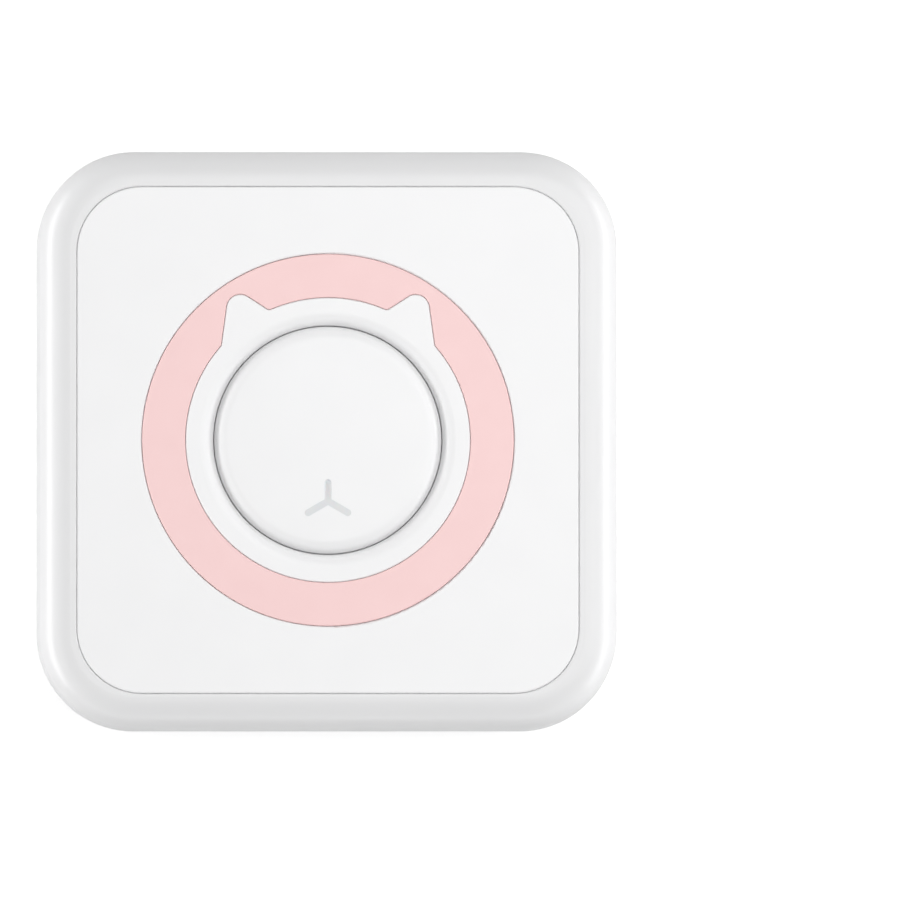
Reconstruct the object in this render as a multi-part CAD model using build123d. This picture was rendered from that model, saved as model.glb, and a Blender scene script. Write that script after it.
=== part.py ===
"""Pocket thermal printer for paper on a small roll, lying on its back with the face up.

Millimetres. X runs across the face, +Y points to the edge where the paper comes out, -Y is the
hinged edge, and Z rises from the flat back. The origin is in the middle of the back.
"""
from build123d import *
import math
import os

# Shell and fits
corner_radius = 14.3
wall = 2.0
floor_thickness = 1.8
seam_gap = 0.3
side_draft = 1.2
rim_roll = 4.7
back_roll = 3.0
part_gap = 0.3
running_gap = 0.05
inlay_gap = 0.06
edge_break = 0.28

# Face of the cover
face_border_side = 5.95
face_border_end = 5.5
panel_corner = 9.5
panel_gap = 0.03
panel_thickness = 1.6
face_web = 1.6
ring_width = 6.4

# Button in the middle of the face
button_radius = 16.65
button_roll = 2.05
button_crown = 0.35
button_skin = 1.8
button_skirt = 1.3
button_flange = 1.5
button_flange_thickness = 1.0
button_travel = 0.5
button_post_radius = 1.6
button_gap = 0.1
groove_roll = 2.0
groove_land = 2.05
collar_thickness = 1.9
mark_stroke = 1.0
mark_centre = 8.95
mark_arm_up = 2.7
mark_leg = 3.35
mark_leg_angle = 30.0
mark_depth = 0.15

# Ears round the button, their points counted in radii of the round outline that carries them
head_outline_radius = button_radius + button_gap + groove_roll + groove_land
ring_outer = head_outline_radius + ring_width
ear_notch = (0.4135, 0.9087)
ear_apex = (0.6913, 1.0889)
ear_foot = (0.7486, 0.6635)
ear_round = 2.0
ear_blend = 0.8

# Button electronics under the face
board_thickness = 0.8
button_board_radius = 14.0
board_peg_radius = 0.8
board_peg_spot = 11.0
switch_size = 4.5
switch_height = 1.1
switch_well_floor = 0.1
plunger_radius = 0.9
plunger_bore_gap = 0.25
plunger_length = 0.8
lamp_size = (1.6, 1.0, 0.7)
lamp_chamfer = 0.15
flex_thickness = 0.2
flex_width = 1.8
flex_lane_y = 7.0

# Cover liner
liner_thickness = 1.0
liner_inset = 0.7
liner_post_radius = 2.4
liner_screw_shank = 0.8
liner_screw_head = 1.8
liner_rib_drop = 3.0
liner_rib_gap = 1.4
arm_width = 1.4
arm_gap = 0.35
arm_round = 3.4
arm_root_half = 5.0
contact_post_wall = 0.8
contact_post_margin = 0.2

# Hinge
knuckle_radius = wall
pin_radius = 1.0
hinge_half_length = 26.0
hinge_middle_half = 17.2
open_angle = 95.0

# Paper roll and its cradle
roll_radius = 14.0
roll_length = 57.0
core_outer = 7.25
core_inner = 5.85
cradle_clearance = 1.3
cradle_wall = 1.2
cradle_end_gap = 0.5
roll_headroom = 1.3
deck_thickness = 1.2
deck_drop = 1.0
paper_thickness = 0.15
web_gap = 0.1
sensor_x = 18.0
sensor_behind = 14.3
sensor_size = (4.0, 3.0)
sensor_window_radius = 0.6
sensor_window_pitch = 2.0
sensor_window_depth = 0.3

# Platen roller, carried by the cover, and the tear bar in front of it
platen_reach = 19.2
platen_rise = 2.5
platen_radius = 4.0
platen_overhang = 0.5
platen_shaft_radius = 1.5
platen_shaft_end = 0.6
bush_radius = 2.6
bush_proud = 0.2
front_room = 11.05
slot_margin = 2.0
tear_bar_drop = 2.6
tear_bar_thickness = 0.4
tear_bar_margin = 1.0
tear_bar_land = 1.6
tear_tooth_pitch = 1.017
tear_tooth_height = 0.7

# Print mechanism, carried by the base
frame_plate = 1.0
frame_gap = 0.3
nip_gap = 0.5
heater_width = 9.0
heater_thickness = 1.0
sink_thickness = 2.0
sink_ahead = 5.5
sink_pin_behind = 8.0
sink_pin_radius = 1.0
sink_barrel_radius = 1.7
cross_drop = 4.5
cross_width = 8.5
rear_bar_drop = 3.0
rear_bar_behind = 15.9
rear_bar_width = 4.6
cheek_rise = 2.0
cheek_lip = 1.6
leaf_thickness = 0.4
leaf_width = 6.0
leaf_reach = 18.0
leaf_seat_half = 4.0
leaf_tip = (3.0, 0.9)
leaf_rivet_half = 1.1
leaf_ahead = 3.5
mouth_behind = 10.5
gear_mouth_behind = 12.5

# Gear train on the left of the mechanism
gear_module = 0.5
gear_backlash = 0.1
platen_teeth = 22
idler_small_teeth = 14
idler_large_teeth = 26
pinion_teeth = 12
gear_width = 2.0
pinion_width = 1.6
gear_side_gap = 0.4
gear_wall_gap = 4.45
idler_pin_radius = 1.0
motor_radius = 6.5
motor_length = 13.0
motor_floor_gap = 0.9
motor_head_gap = 0.2
motor_roll = 0.4
motor_ear_reach = 9.4
motor_ear_half = 1.8
motor_ear_thickness = 0.8
motor_screw_reach = 7.9
motor_screw_shank = 0.6
motor_screw_head = 1.2
motor_screw_head_height = 0.5
motor_shaft_radius = 0.75
motor_shaft_depth = 4.0
motor_boss_gap = 0.6

# Main board and what stands on it
board_side_gap = 3.5
board_front_gap = 1.95
board_motor_gap = 3.8
main_board_depth = 20.0
main_board_height = 5.0
main_board_thickness = 1.2
main_board_chamfer = 5.0
board_screw_inset = (3.0, 2.8)
board_screw_beside = (9.0, 7.9)
radio_spot, radio_size = (5.0, 6.9), (10.0, 10.5, 2.0)
radio_roll = 0.4
processor_spot, processor_size = (18.0, 10.4), (7.0, 7.0, 1.0)
driver_spot, driver_size = (6.0, 1.8), (5.0, 4.0, 1.2)
memory_spot, memory_size = (28.0, 11.4), (5.0, 4.0, 1.1)
head_flex_spot = 18.0
head_flex_width = 16.0
head_flex_bulge = 1.0
flex_socket_spot, flex_socket_depth, flex_socket_height = 4.8, 3.2, 1.9
flex_socket_cheek = 1.2
flex_slot_width = 0.4
flex_slot_floor = 0.8
reset_spot = (18.0, 6.4)
reset_switch_size = 3.0
reset_switch_height = 1.4
reset_knob_radius = 0.8
reset_knob_height = 0.5
pin_hole_radius = 0.6
socket_width = 7.5
socket_height = 2.7
socket_depth = 5.2
socket_behind_edge = 4.1
socket_skin = 0.3
socket_back = 0.5
socket_corner = 0.7
socket_into_wall = 0.9
usb_clearance = 0.35
tongue_width = 3.8
tongue_thickness = 0.6
tongue_setback = 0.8
tongue_rise = 0.35
contact_inset = 0.4
contact_width = 2.8
contact_spot, contact_length = 8.6, 6.4
contact_block_drop = 2.4
contact_pin_radius = 0.45
contact_pin_pitch = 2.0
contact_pin_round = 0.2
contact_rise = 0.8

# Battery and leads
battery_length = 44.0
battery_width = 14.0
battery_height = 14.5
battery_rear_room = 3.55
battery_front_room = 1.5
battery_lift = 0.1
battery_roll = 2.0
rib_thickness = 1.2
rib_height = 5.0
rib_half = 4.0
lead_radius = 0.6
lead_pitch = 1.6
lead_exit_drop = 4.9
lead_stub = 5.0
lead_lane_gap = 8.5
lead_sag = (1.0, 2.4)
lead_lane_shares = (0.16, 0.47, 0.79)
lead_plug_spot = 2.0
lead_plug_size = (2.6, 3.0, 3.6)

# Fasteners
case_screw_head = 2.1
case_screw_shank = 1.0
case_screw_seat = 3.4
case_boss_top = 5.2
case_boss_wall = 1.0
case_screw_length = 11.6
case_front_inset = 4.1
case_front_behind = 17.5
case_rear_inset = (6.5, 7.25)
frame_screw_head = 1.7
frame_screw_shank = 0.8
frame_screw_depth = 6.0
frame_boss_radius = 2.2
frame_screw_inset = 4.8
frame_screw_ahead = 5.0
frame_screw_past_motor = 6.8
board_screw_head = 1.5
board_screw_shank = 0.7
board_boss_radius = 1.9
liner_front_inset = (9.5, 9.5)
liner_rear_inset = (7.5, 10.25)
pilot_extra = 1.0
screw_head_thickness = 1.0
recess_depth_share = 0.6
screw_slack = 0.3
drive_width = 0.55

# Thumb notches under the cover's edge
notch_behind = 12.5
notch_drop = 7.5
notch_radius = 30.0
notch_roll = 4.0
notch_depth = 1.1

# Across: the roll, its rollers and the gears beside them give the width
cradle_half_length = roll_length / 2 + cradle_end_gap
platen_length = roll_length + platen_overhang
arm_inner = platen_length / 2 + arm_gap
arm_outer = arm_inner + arm_width
frame_inner = arm_outer + frame_gap
frame_outer = frame_inner + frame_plate
gear_inner = frame_outer + gear_side_gap
gear_outer = gear_inner + gear_width
pinion_inner = gear_outer + gear_side_gap
pinion_outer = pinion_inner + pinion_width
inner_width = 2 * (pinion_outer + gear_wall_gap)
body_width = inner_width + 2 * wall
panel_width = body_width - 2 * face_border_side

# Upwards in the mechanism: motor, print head and platen give the height of the seam
motor_height = floor_thickness + motor_floor_gap + motor_radius
sink_pin_height = motor_height + motor_radius + motor_head_gap + sink_barrel_radius
sink_top = sink_pin_height + sink_barrel_radius - part_gap
sink_bottom = sink_top - sink_thickness
heater_top = sink_top + heater_thickness
platen_height = heater_top + nip_gap + platen_radius
seam_height = platen_height - platen_rise

# Along: battery, roll and print mechanism one behind the other give the length
cradle_radius = roll_radius + cradle_clearance
battery_room = battery_rear_room + battery_width + battery_front_room
inner_length = battery_room + cradle_wall + 2 * cradle_radius + platen_reach + front_room
body_length = inner_length + 2 * wall
panel_length = body_length - 2 * face_border_end
inner_corner = corner_radius - wall
battery_y = -inner_length / 2 + battery_rear_room + battery_width / 2
roll_y = -inner_length / 2 + battery_room + cradle_wall + cradle_radius
platen_y = roll_y + cradle_radius + platen_reach
hinge_y = -body_length / 2 + knuckle_radius
hinge_height = seam_height
over_angle = math.radians(open_angle - 90)
rear_relief = (knuckle_radius + seam_gap) / math.cos(over_angle) + knuckle_radius * math.tan(over_angle)
cover_bottom = seam_height + seam_gap

# Upwards: the roll and, over it, the stack under the button give the depth
cradle_bottom = floor_thickness + part_gap + cradle_wall
cradle_height = cradle_bottom + cradle_radius
roll_height = cradle_bottom + part_gap + roll_radius
liner_bottom = roll_height + roll_radius + roll_headroom
liner_top = liner_bottom + liner_thickness
button_board_top = liner_top + board_thickness
switch_top = button_board_top + switch_height
button_post_bottom = switch_top + button_travel
flange_bottom = button_board_top + button_travel + part_gap
flange_top = flange_bottom + button_flange_thickness
cover_ceiling = flange_top + part_gap
panel_floor = cover_ceiling + face_web
body_depth = panel_floor + panel_thickness
collar_outer = button_radius + button_gap + collar_thickness
collar_bottom = cover_ceiling

# Heights and places of the mechanism
deck_height = seam_height - deck_drop
under_deck = deck_height - deck_thickness
sink_pin_y = platen_y - sink_pin_behind
cross_height = sink_bottom - cross_drop
cross_front = platen_y + cross_width
rear_bar_height = under_deck - part_gap - rear_bar_drop
rear_bar_rear = platen_y - rear_bar_behind
rear_bar_front = rear_bar_rear + rear_bar_width
leaf_y = platen_y + leaf_ahead
mouth_rear = platen_y - mouth_behind
tear_bar_bottom = seam_height - tear_bar_drop
sensor_y = platen_y - sensor_behind

# Places on and round the main board
main_board_left = -frame_inner + motor_length + board_motor_gap
main_board_right = inner_width / 2 - board_side_gap
main_board_front = inner_length / 2 - board_front_gap
main_board_rear = main_board_front - main_board_depth
main_board_top = main_board_height + main_board_thickness
contact_right = main_board_right - contact_inset
contact_left = contact_right - contact_width
contact_middle = (contact_left + contact_right) / 2
contact_rear = main_board_rear + contact_spot
contact_front = contact_rear + contact_length
contact_block_top = deck_height - contact_block_drop
contact_height = seam_height + contact_rise
contact_pin_spots = [(contact_rear + contact_front) / 2 + step * contact_pin_pitch for step in (-1, 0, 1)]
flex_left = main_board_left + head_flex_spot
flex_socket_rear = main_board_rear + flex_socket_spot
flex_socket_middle = flex_socket_rear + flex_socket_depth / 2
pin_hole_x = main_board_left + reset_spot[0]
pin_hole_y = main_board_rear + reset_spot[1]
socket_y = main_board_rear + socket_behind_edge
socket_mouth = inner_width / 2 + socket_into_wall
lead_lane_x = inner_width / 2 - lead_lane_gap
lead_plug_y = main_board_rear + lead_plug_spot
battery_bottom = floor_thickness + battery_lift

# Places of the screws, each list holding what one node repeats
case_screw_spots = [(side * (inner_width / 2 - inset), y) for inset, y in (
    (case_front_inset, platen_y - case_front_behind),
    (case_rear_inset[0], -inner_length / 2 + case_rear_inset[1])) for side in (-1, 1)]
frame_front_screws = [(side * (frame_inner - frame_screw_inset), platen_y + frame_screw_ahead)
                      for side in (-1, 1)]
frame_rear_screws = [(x, (rear_bar_rear + rear_bar_front) / 2) for x in (
    -frame_inner + motor_length + frame_screw_past_motor, frame_inner - frame_screw_inset)]
board_screw_spots = [(main_board_left + board_screw_inset[0], main_board_front - board_screw_inset[1]),
                     (main_board_right - board_screw_beside[0], main_board_rear + board_screw_beside[1])]
liner_screw_spots = [(side * (inner_width / 2 - inset), y) for inset, y in (
    (liner_front_inset[0], platen_y - liner_front_inset[1]),
    (liner_rear_inset[0], -inner_length / 2 + liner_rear_inset[1])) for side in (-1, 1)]


def block(x_span, y_span, z_span):
    """Box between two values along each axis."""
    size = [span[1] - span[0] for span in (x_span, y_span, z_span)]
    middle = [sum(span) / 2 for span in (x_span, y_span, z_span)]
    return Pos(*middle) * Box(*size)


def post(x, y, radius, bottom, top):
    """Upright cylinder between two heights."""
    return Pos(x, y, (bottom + top) / 2) * Cylinder(radius, top - bottom)


def rod(y, z, radius, left, right):
    """Cylinder along X between two values of X."""
    return Pos((left + right) / 2, y, z) * Rot(0, 90, 0) * Cylinder(radius, right - left)


def plate(width, length, radius, bottom, top):
    """Flat plate with rounded corners, centred on the origin."""
    return Pos(0, 0, bottom) * extrude(RectangleRounded(width, length, radius), top - bottom)


def across(points, left, right):
    """Prism along X whose section is a polygon of (y, z) points."""
    section = Plane.YZ * make_face(Polyline(*points, close=True))
    return Pos(left, 0, 0) * extrude(section, right - left, dir=(1, 0, 0))


def thick_line(points, thickness):
    """Outline of a strip of even thickness that follows the points with mitred corners."""
    left_side, right_side = [], []
    for index, (u, v) in enumerate(points):
        before = points[max(index - 1, 0)]
        after = points[min(index + 1, len(points) - 1)]
        incoming = math.atan2(v - before[1], u - before[0]) if index else None
        outgoing = math.atan2(after[1] - v, after[0] - u) if index < len(points) - 1 else incoming
        incoming = outgoing if incoming is None else incoming
        half_turn = (outgoing - incoming) / 2
        normal = incoming + half_turn + math.pi / 2
        reach = thickness / 2 / math.cos(half_turn)
        left_side.append((u + reach * math.cos(normal), v + reach * math.sin(normal)))
        right_side.append((u - reach * math.cos(normal), v - reach * math.sin(normal)))
    return left_side + right_side[::-1]


def mirrored(shape):
    """The shape and its mirror image across the middle of the width."""
    return shape + mirror(shape, about=Plane.YZ)


def top_edges(shape):
    """Edges of the highest flat face."""
    return shape.faces().filter_by(GeomType.PLANE).sort_by(Axis.Z)[-1].edges()


def body_block(height):
    """The body's outer form above the seam plane, narrowing by the draft."""
    outline = RectangleRounded(body_width, body_length, corner_radius)
    return extrude(outline, height, taper=side_draft)


def hinge_bores(radius):
    """Hole for the hinge pin along the whole hinge."""
    return rod(hinge_y, hinge_height, radius, -hinge_half_length - 1, hinge_half_length + 1)


def screw(x, y, head_radius, shank_radius, head_bottom, tip):
    """Pan-head screw with a cross recess, driven from below or above."""
    upward = tip > head_bottom
    head_top = head_bottom + (screw_head_thickness if upward else -screw_head_thickness)
    head = post(x, y, head_radius, min(head_bottom, head_top), max(head_bottom, head_top))
    shank = post(x, y, shank_radius, min(head_top, tip), max(head_top, tip))
    recess_end = head_bottom + recess_depth_share * (head_top - head_bottom)
    recess_span = (min(head_bottom, recess_end), max(head_bottom, recess_end))
    arm = recess_depth_share * head_radius
    half = drive_width / 2
    cross = block((x - arm, x + arm), (y - half, y + half), recess_span)
    cross += block((x - half, x + half), (y - arm, y + arm), recess_span)
    return head + shank - cross


def base_shell():
    """Tray-shaped back of the body, with bosses, battery ribs and the fixed hinge knuckles."""
    outer = mirror(body_block(seam_height), about=Plane.XY)
    outer = fillet(outer.faces().sort_by(Axis.Z)[0].edges(), back_roll)
    shell = Pos(0, 0, seam_height) * outer
    cavity = plate(inner_width, inner_length, inner_corner, floor_thickness, seam_height + 1)
    cavity = fillet(cavity.faces().sort_by(Axis.Z)[0].edges(), back_roll - floor_thickness)
    shell -= cavity

    # The rear edge stands low behind the hinge line, so that the cover can swing down there
    low_edge = seam_height - rear_relief
    shell -= block((-body_width, body_width), (-body_length, hinge_y), (low_edge, seam_height + 1))
    hollow = rod(hinge_y, hinge_height, knuckle_radius + part_gap, hinge_half_length, body_width / 2)
    shell -= mirrored(hollow)
    pedestal = block((hinge_middle_half + part_gap, hinge_half_length), (hinge_y, hinge_y + knuckle_radius),
                     (low_edge - wall, hinge_height))
    knuckle = rod(hinge_y, hinge_height, knuckle_radius, hinge_middle_half + part_gap, hinge_half_length)
    shell += mirrored(pedestal + knuckle)
    shell -= hinge_bores(pin_radius)

    for x, y in case_screw_spots:
        shell += post(x, y, case_screw_head + case_boss_wall, 0, case_boss_top) & body_core()
        shell -= post(x, y, case_screw_head + screw_slack, -1, case_screw_seat)
        shell -= post(x, y, case_screw_shank + screw_slack, 0, case_boss_top + 1)
    pilot_depth = frame_screw_depth + pilot_extra
    for x, y in frame_front_screws:
        shell += post(x, y, frame_boss_radius, floor_thickness, cross_height)
        shell -= post(x, y, frame_screw_shank, cross_height - pilot_depth, cross_height)
    for x, y in frame_rear_screws:
        shell += post(x, y, frame_boss_radius, floor_thickness, rear_bar_height)
        shell -= post(x, y, frame_screw_shank, rear_bar_height - pilot_depth, rear_bar_height)
    for x, y in board_screw_spots:
        shell += post(x, y, board_boss_radius, floor_thickness, main_board_height)
        shell -= post(x, y, board_screw_shank, floor_thickness, main_board_height)

    # Ribs that hold the battery by its four sides
    rib_top = floor_thickness + rib_height
    half = battery_length / 2 + part_gap
    reach = battery_width / 2 + part_gap
    for rib_y in (battery_y - reach - rib_thickness, battery_y + reach):
        shell += block((-half, half), (rib_y, rib_y + rib_thickness), (floor_thickness, rib_top))
    shell += mirrored(block((half, half + rib_thickness), (battery_y - rib_half, battery_y + rib_half),
                            (floor_thickness, rib_top)))

    # Paper slot, socket opening, pin hole, and a thumb notch under the cover's edge on each side
    slot_half = roll_length / 2 + slot_margin
    shell -= block((-slot_half, slot_half), (inner_length / 2 - 1, body_length),
                   (tear_bar_bottom, seam_height + 1))
    shell -= usb_opening()
    shell -= post(pin_hole_x, pin_hole_y, pin_hole_radius, -1, floor_thickness + 1)
    scoop = post(body_width / 2 - notch_depth + notch_radius, platen_y - notch_behind, notch_radius,
                 seam_height - notch_drop, seam_height + 1)
    scoop = fillet(scoop.edges().filter_by(GeomType.CIRCLE).sort_by(Axis.Z)[0], notch_roll)
    shell -= mirrored(scoop)
    return shell


def body_core():
    """The body's full outer block, used to trim what meets the outer walls."""
    return plate(body_width - 1, body_length - 1, corner_radius, 0, body_depth)


def usb_opening():
    """Rounded opening for the plug in the right-hand wall."""
    middle = main_board_top + socket_height / 2
    outline = RectangleRounded(socket_width + 2 * usb_clearance, socket_height + 2 * usb_clearance,
                               socket_corner + usb_clearance)
    section = Plane.YZ * (Pos(socket_y, middle) * outline)
    return Pos(inner_width / 2 - 1, 0, 0) * extrude(section, 2 * wall + 1, dir=(1, 0, 0))


def case_screws():
    """Four self-tapping screws that pull the chassis down onto the base."""
    head_bottom = case_screw_seat - screw_head_thickness
    screws = [screw(x, y, case_screw_head, case_screw_shank, head_bottom, head_bottom + case_screw_length)
              for x, y in case_screw_spots]
    return Compound(children=screws)


def chassis():
    """Inner tray: deck over the electronics, roll cradle, and posts for the case screws."""
    deck_rear = hinge_y + knuckle_radius + part_gap
    deck = plate(inner_width - 2 * part_gap, inner_length - 2 * part_gap, inner_corner - part_gap,
                 under_deck, deck_height)
    deck -= block((-body_width, body_width), (-body_length, deck_rear), (0, body_depth))
    end_outer = cradle_half_length + cradle_wall
    trough = rod(roll_y, cradle_height, cradle_radius + cradle_wall, -end_outer, end_outer)
    trough -= block((-body_width, body_width), (-body_length, body_length), (deck_height, body_depth))
    tray = deck + trough
    tray -= rod(roll_y, cradle_height, cradle_radius, -cradle_half_length, cradle_half_length)

    # Mouth for the print mechanism and its gears, down to the paper slot
    mouth_half = frame_outer + part_gap
    tray -= block((-mouth_half, mouth_half), (mouth_rear, body_length), (0, body_depth))
    tray -= block((-body_width / 2, 0), (platen_y - gear_mouth_behind, body_length), (0, body_depth))
    tray -= block((contact_left - part_gap, contact_right + part_gap),
                  (contact_rear - part_gap, contact_front + part_gap), (0, body_depth))

    for x, y in case_screw_spots:
        tray += post(x, y, case_screw_head + part_gap, case_boss_top, under_deck)
        tray -= post(x, y, case_screw_shank, case_boss_top - 1,
                     case_screw_seat + case_screw_length)
    return tray - sensor_block(0, body_depth)


def sensor_block(bottom, top):
    """Block of the paper sensor's width and length."""
    width, length = sensor_size
    return block((sensor_x - width / 2, sensor_x + width / 2), (sensor_y - length / 2, sensor_y + length / 2),
                 (bottom, top))


def paper_sensor():
    """Reflective sensor set flush in the deck where the paper passes."""
    body = sensor_block(under_deck - part_gap, deck_height)
    for side in (-1, 1):
        body -= post(sensor_x + side * sensor_window_pitch / 2, sensor_y, sensor_window_radius,
                     deck_height - sensor_window_depth, deck_height + 1)
    return body


def cover_outer():
    """Outer form of the cover, with the rolled rim round the face."""
    form = body_block(body_depth - cover_bottom)
    form = fillet(top_edges(form), rim_roll)
    return Pos(0, 0, cover_bottom) * form


def cover_shell():
    """Rim and side walls of the cover, with the seats of the face pieces and the moving knuckle."""
    shell = cover_outer()
    cavity = plate(inner_width, inner_length, inner_corner, cover_bottom - 1, cover_ceiling)
    cavity = fillet(top_edges(cavity), rim_roll - wall)
    shell -= cavity

    # Round heel that closes the base's low rear edge and turns in its hollow, and the middle knuckle
    heel = rod(hinge_y, hinge_height, knuckle_radius, hinge_half_length + part_gap, body_width / 2)
    shell += mirrored(heel & plate(body_width, body_length, corner_radius, 0, body_depth))
    shell += rod(hinge_y, hinge_height, knuckle_radius, -hinge_middle_half, hinge_middle_half)
    clear = rod(hinge_y, hinge_height, knuckle_radius + part_gap, hinge_middle_half,
                hinge_half_length + part_gap)
    shell -= mirrored(clear)
    shell -= hinge_bores(pin_radius + running_gap)

    # Seats for the face panel and ring, and the hole for the button's collar
    shell -= plate(panel_width + 2 * panel_gap, panel_length + 2 * panel_gap, panel_corner + panel_gap,
                   panel_floor, body_depth + 1)
    rim_line = [edge for edge in top_edges(shell) if edge.center().Z > body_depth - 0.01]
    shell = fillet(inner_rim_edges(shell, rim_line), edge_break)
    shell -= post(0, 0, collar_outer + inlay_gap, 0, body_depth)

    for x, y in liner_screw_spots:
        shell += post(x, y, liner_post_radius, liner_top, cover_ceiling + face_web / 2)
        shell -= post(x, y, liner_screw_shank, liner_top - 1, cover_ceiling)
    return shell


def inner_rim_edges(shell, edges):
    """Of the edges of the rim's flat top, those round the face panel."""
    side, end = panel_width / 2 + 2 * panel_gap, panel_length / 2 + 2 * panel_gap
    return [edge for edge in edges if abs(edge.center().X) < side and abs(edge.center().Y) < end]


def face_panel():
    """Flat panel of the face, with the round opening for the ring."""
    panel = plate(panel_width, panel_length, panel_corner, panel_floor, body_depth)
    panel -= post(0, 0, ring_outer + inlay_gap, 0, body_depth + 1)
    return fillet(top_edges(panel), edge_break)


def ear_points(grow):
    """Points of the right ear's outline, from the notch to the foot, grown outwards.

    Each flank is a line that blends into the round outline with a small arc, and the tip is round.
    """
    notch, apex, foot = (Vector(*point) * head_outline_radius for point in (ear_notch, ear_apex, ear_foot))
    blend_reach = head_outline_radius + ear_blend
    flanks, blends = [], []
    for start, end, sense in ((notch, apex, 1), (apex, foot, -1)):
        along = (end - start).normalized()
        outward = Vector(-along.Y, along.X)
        distance = outward.dot(start)
        slide = sense * math.sqrt(blend_reach ** 2 - (distance + ear_blend) ** 2)
        centre = outward * (distance + ear_blend) + along * slide
        on_circle = centre.normalized() * (head_outline_radius + grow)
        on_flank = centre - outward * (ear_blend - grow)
        middle = centre - (centre.normalized() + outward).normalized() * (ear_blend - grow)
        flanks.append((outward, distance))
        blends.append((on_circle, middle, on_flank))
    (first, first_distance), (second, second_distance) = flanks
    overlap = first.dot(second)
    share_a, share_b = first_distance - ear_round, second_distance - ear_round
    scale = 1 - overlap ** 2
    tip_centre = first * ((share_a - overlap * share_b) / scale)
    tip_centre += second * ((share_b - overlap * share_a) / scale)
    tip_radius = ear_round + grow
    tip = [tip_centre + direction * tip_radius
           for direction in (first, (first + second).normalized(), second)]
    return list(blends[0]) + tip + list(blends[1])[::-1]


def head_outline(grow=0.0):
    """Round outline with two pointed ears, grown outwards by the given amount."""
    right = ear_points(grow)
    left = [Vector(-point.X, point.Y) for point in right][::-1]
    reach = head_outline_radius + grow
    edges = [ThreePointArc(left[-1], Vector(0, reach), right[0])]
    for points in (right, left):
        edges.append(ThreePointArc(*points[0:3]))
        edges.append(Line(points[2], points[3]))
        edges.append(ThreePointArc(*points[3:6]))
        edges.append(Line(points[5], points[6]))
        edges.append(ThreePointArc(*points[6:9]))
    edges.append(ThreePointArc(right[-1], Vector(0, -reach), left[0]))
    return make_face(Curve() + edges)


def ring_inlay():
    """Coloured ring that fills the space between the panel and the ears."""
    ring = Circle(ring_outer) - head_outline(inlay_gap)
    inlay = Pos(0, 0, panel_floor) * extrude(ring, panel_thickness)
    return chamfer(top_edges(inlay), edge_break / 2)


def ear_plate():
    """White plate inside the ring, whose collar guides the button."""
    body = Pos(0, 0, panel_floor) * extrude(head_outline(), panel_thickness)
    body = chamfer(top_edges(body), edge_break / 2)
    body += post(0, 0, collar_outer, collar_bottom, panel_floor)
    body -= post(0, 0, button_radius + button_gap, 0, body_depth + 1)
    rim = [edge for edge in top_edges(body) if edge.geom_type == GeomType.CIRCLE
           and abs(edge.radius - button_radius - button_gap) < 0.01]
    return fillet(rim, groove_roll)


def nose_section():
    """Three rounded strokes that meet in the mark."""
    stroke_up = Pos(0, -mark_centre) * Rot(0, 0, 90) * stroke(mark_arm_up)
    left_leg = Pos(0, -mark_centre) * Rot(0, 0, 180 + mark_leg_angle) * stroke(mark_leg)
    right_leg = Pos(0, -mark_centre) * Rot(0, 0, -mark_leg_angle) * stroke(mark_leg)
    return stroke_up + left_leg + right_leg


def stroke(length):
    """Rounded bar that starts at the origin and runs along +X."""
    return Pos(length / 2, 0) * SlotCenterToCenter(length, mark_stroke)


def light_mark():
    """Translucent mark let into the button over the lamp."""
    top = body_depth + button_crown - mark_depth - button_crown * (mark_centre / button_radius) ** 2
    return Pos(0, 0, panel_floor) * extrude(nose_section(), top - panel_floor)


def button():
    """Crowned round button with a skirt, a retaining flange and a post for the switch."""
    edge_top = body_depth
    flat_radius = button_radius - button_roll
    underside = body_depth - button_skin
    inner = button_radius - button_skirt
    flange_radius = button_radius + button_flange
    half_roll = button_roll * math.sin(math.radians(45))
    crown = ThreePointArc((0, body_depth + button_crown),
                          (flat_radius / 2, edge_top + button_crown * 0.75), (flat_radius, edge_top))
    roll_middle = (flat_radius + half_roll, edge_top - button_roll + half_roll)
    roll = ThreePointArc((flat_radius, edge_top), roll_middle, (button_radius, edge_top - button_roll))
    below = Polyline((button_radius, edge_top - button_roll), (button_radius, flange_top),
                     (flange_radius, flange_top), (flange_radius, flange_bottom), (inner, flange_bottom),
                     (inner, underside), (button_post_radius, underside),
                     (button_post_radius, button_post_bottom), (0, button_post_bottom),
                     (0, body_depth + button_crown))
    section = Plane.XZ * make_face(Curve() + [crown, roll, below])
    body = revolve(section, Axis.Z)
    return body - Pos(0, 0, flange_top) * extrude(nose_section(), body_depth)


def button_board():
    """Round circuit board under the button."""
    board = post(0, 0, button_board_radius, liner_top, button_board_top)
    return board - mirrored(post(board_peg_spot, 0, board_peg_radius, 0, body_depth))


def tact_switch():
    """Body of the push switch, with a well for its plunger."""
    half = switch_size / 2
    body = block((-half, half), (-half, half), (button_board_top, switch_top))
    well_radius = plunger_radius + plunger_bore_gap
    return body - post(0, 0, well_radius, button_board_top + switch_well_floor, body_depth)


def switch_plunger():
    """Plunger that the button's post pushes down."""
    return post(0, 0, plunger_radius, button_post_bottom - plunger_length, button_post_bottom)


def indicator_lamp():
    """Lamp under the mark."""
    width, length, height = lamp_size
    lamp = block((-width / 2, width / 2), (-mark_centre - length / 2, -mark_centre + length / 2),
                 (button_board_top, button_board_top + height))
    return chamfer(lamp.edges().filter_by(Axis.Z), lamp_chamfer)


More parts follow.
